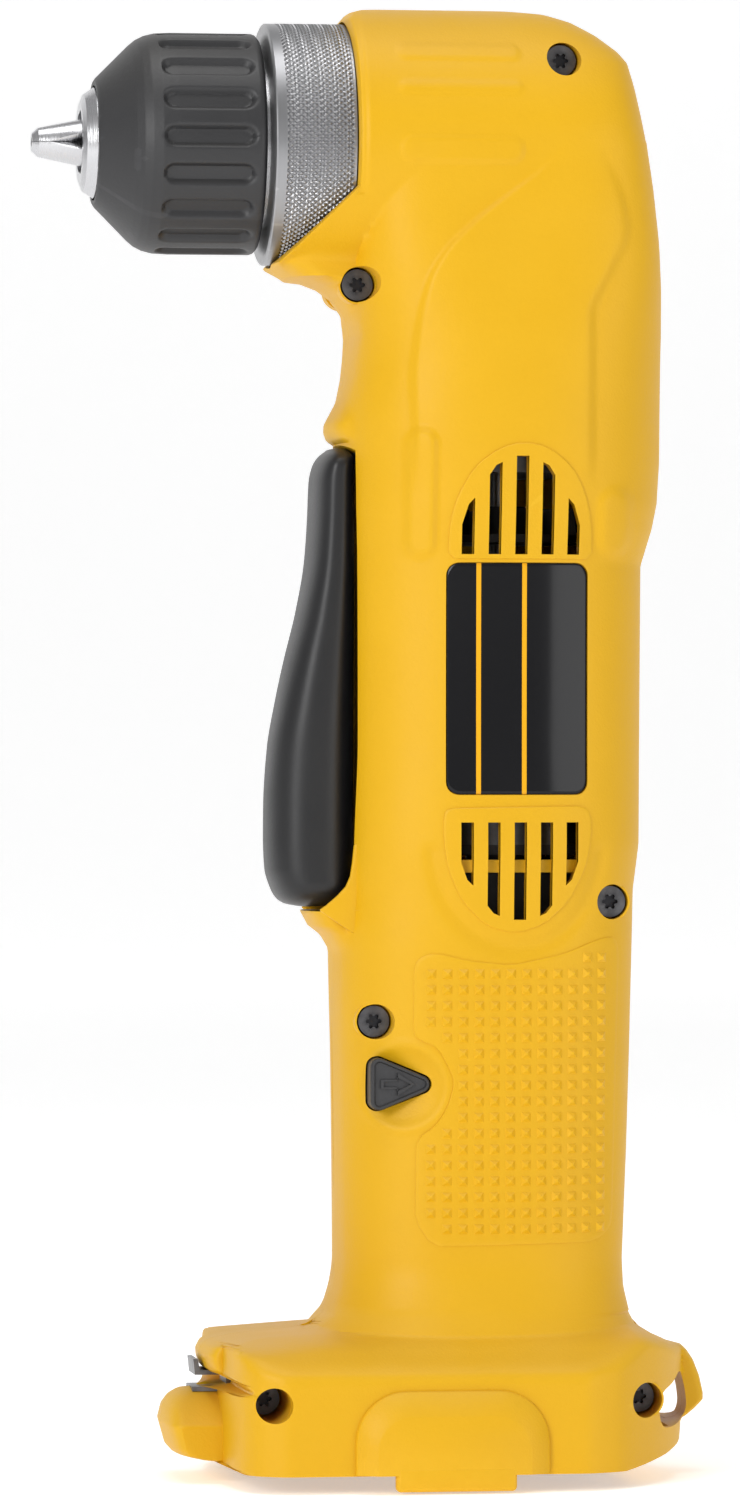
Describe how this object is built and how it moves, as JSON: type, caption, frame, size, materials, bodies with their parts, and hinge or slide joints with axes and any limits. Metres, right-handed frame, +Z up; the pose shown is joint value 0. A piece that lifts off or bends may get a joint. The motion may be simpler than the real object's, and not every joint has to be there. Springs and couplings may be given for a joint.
{
  "type": "cordless drill",
  "caption": "Right-angle cordless drill with a keyless three-jaw chuck, long paddle trigger, direction button and a foot that takes a slide-on battery.",
  "frame": {"origin": "middle of the footprint, level with the under side of the two latch lips the tool stands on", "axes": "+Z up along the handle, +X to the back, so the chuck points to -X; +Y is the tool's right-hand shell"},
  "size_m": [0.1206, 0.076, 0.2604],
  "materials": {
    "yellow_housing": "fine spark-eroded",
    "black_plastic": "fine grain",
    "plate_black": "gloss",
    "screw_black": "black oxide",
    "clip_black": "blackened spring steel",
    "bright_steel": "turned",
    "dark_steel": "ground",
    "can_steel": "zinc plated",
    "alloy": "die cast",
    "sintered": "sintered",
    "copper": "copper",
    "brass": "plain",
    "graphite": "carbon",
    "magnet": "ferrite",
    "fan_plastic": "moulded",
    "switch_plastic": "moulded",
    "lead_red": "insulation",
    "lead_black": "insulation"
  },
  "bodies": {
    "housing": {"battery_lead_black": "lead_black", "battery_lead_red": "lead_red", "bit_clip": "clip_black", "brush_boxes": "brass", "brush_springs": "brass", "carbon_brushes": "graphite", "contact_blades": "brass", "contact_block": "switch_plastic", "gear_case": "alloy", "gear_case_cover": "alloy", "heat_sink": "alloy", "left_name_plate": "plate_black", "left_shell": "yellow_housing", "motor_can": "can_steel", "motor_end_bell": "switch_plastic", "motor_lead_black": "lead_black", "motor_lead_red": "lead_red", "motor_lower_bush": "sintered", "motor_magnets": "magnet", "motor_upper_bush": "sintered", "paddle_pin": "bright_steel", "pinion_bearing": "dark_steel", "right_name_plate": "plate_black", "right_shell": "yellow_housing", "ring_gear": "sintered", "shell_screws": "screw_black", "spindle_bearing_balls": "dark_steel", "spindle_bearing_outer_race": "dark_steel", "spindle_rear_bush": "sintered", "switch_body": "switch_plastic"},
    "rotor": {"armature_core": "sintered", "armature_windings": "copper", "commutator": "copper", "motor_shaft": "bright_steel", "cooling_fan": "fan_plastic", "sun_gear": "sintered"},
    "planet_stage": {"planet_carrier": "sintered", "planet_pins": "bright_steel", "bevel_pinion": "sintered"},
    "planet_1": {"planet_gear_1": "sintered"},
    "planet_2": {"planet_gear_2": "sintered"},
    "planet_3": {"planet_gear_3": "sintered"},
    "output": {"spindle": "bright_steel", "crown_gear": "sintered", "spindle_bearing_inner_race": "dark_steel", "chuck_body": "bright_steel", "chuck_screw": "dark_steel", "chuck_knurled_ring": "bright_steel"},
    "chuck_grip": {"chuck_sleeve": "black_plastic", "chuck_nut": "dark_steel"},
    "jaw_1": {"chuck_jaw_1": "dark_steel"},
    "jaw_2": {"chuck_jaw_2": "dark_steel"},
    "jaw_3": {"chuck_jaw_3": "dark_steel"},
    "paddle": {"trigger_paddle": "black_plastic"},
    "switch_rod": {"switch_plunger": "switch_plastic"},
    "reverser": {"direction_button": "black_plastic"},
    "selector": {"selector_arm": "switch_plastic"}
  },
  "joints": [
    {"name": "spindle_spin", "type": "hinge", "parent": "housing", "child": "output", "pos_m": [-0.02, 0, 0.2362], "axis": [-1, 0, 0], "continuous": true},
    {"name": "carrier_spin", "type": "hinge", "parent": "housing", "child": "planet_stage", "pos_m": [0.0235, 0, 0.19], "axis": [0, 0, 1], "continuous": true},
    {"name": "rotor_spin", "type": "hinge", "parent": "housing", "child": "rotor", "pos_m": [0.0235, 0, 0.14], "axis": [0, 0, 1], "continuous": true},
    {"name": "planet_1_spin", "type": "hinge", "parent": "planet_stage", "child": "planet_1", "pos_m": [0.03363, 0, 0.1845], "axis": [0, 0, 1], "continuous": true},
    {"name": "planet_2_spin", "type": "hinge", "parent": "planet_stage", "child": "planet_2", "pos_m": [0.01844, 0.00877, 0.1845], "axis": [0, 0, 1], "continuous": true},
    {"name": "planet_3_spin", "type": "hinge", "parent": "planet_stage", "child": "planet_3", "pos_m": [0.01844, -0.00877, 0.1845], "axis": [0, 0, 1], "continuous": true},
    {"name": "sleeve_turn", "type": "hinge", "parent": "output", "child": "chuck_grip", "pos_m": [-0.03, 0, 0.2362], "axis": [1, 0, 0], "range_deg": [0, 1800]},
    {"name": "jaw_1_slide", "type": "slide", "parent": "output", "child": "jaw_1", "axis": [0.9703, -0.121, -0.2095], "range_m": [0, 0.017]},
    {"name": "jaw_2_slide", "type": "slide", "parent": "output", "child": "jaw_2", "axis": [0.9703, -0.121, 0.2095], "range_m": [0, 0.017]},
    {"name": "jaw_3_slide", "type": "slide", "parent": "output", "child": "jaw_3", "axis": [0.9703, 0.2419, 0], "range_m": [0, 0.017]},
    {"name": "paddle_press", "type": "hinge", "parent": "housing", "child": "paddle", "pos_m": [-0.0022, 0, 0.1812], "axis": [0, -1, 0], "range_deg": [0, 4], "stiffness_Nm_per_rad": 2, "springref_deg": -8.59},
    {"name": "plunger_push", "type": "slide", "parent": "housing", "child": "switch_rod", "axis": [1, 0, 0], "range_m": [0, 0.0056], "stiffness_N_per_m": 150, "springref_m": -0.004},
    {"name": "direction_shift", "type": "slide", "parent": "housing", "child": "reverser", "axis": [0, 1, 0], "range_m": [-0.003, 0.003]},
    {"name": "selector_swing", "type": "slide", "parent": "housing", "child": "selector", "axis": [0, 1, 0], "range_m": [-0.003, 0.003]}
  ],
  "couplings": [
    {"joint": "carrier_spin", "follows": "spindle_spin", "ratio": 2.9231},
    {"joint": "rotor_spin", "follows": "spindle_spin", "ratio": 13.154},
    {"joint": "planet_1_spin", "follows": "spindle_spin", "ratio": -8.1846},
    {"joint": "planet_2_spin", "follows": "spindle_spin", "ratio": -8.1846},
    {"joint": "planet_3_spin", "follows": "spindle_spin", "ratio": -8.1846},
    {"joint": "jaw_1_slide", "follows": "sleeve_turn", "m_per_rad": 0.00054113},
    {"joint": "jaw_2_slide", "follows": "sleeve_turn", "m_per_rad": 0.00054113},
    {"joint": "jaw_3_slide", "follows": "sleeve_turn", "m_per_rad": 0.00054113},
    {"joint": "plunger_push", "follows": "paddle_press", "m_per_rad": 0.0775},
    {"joint": "selector_swing", "follows": "direction_shift", "ratio": 1}
  ]
}
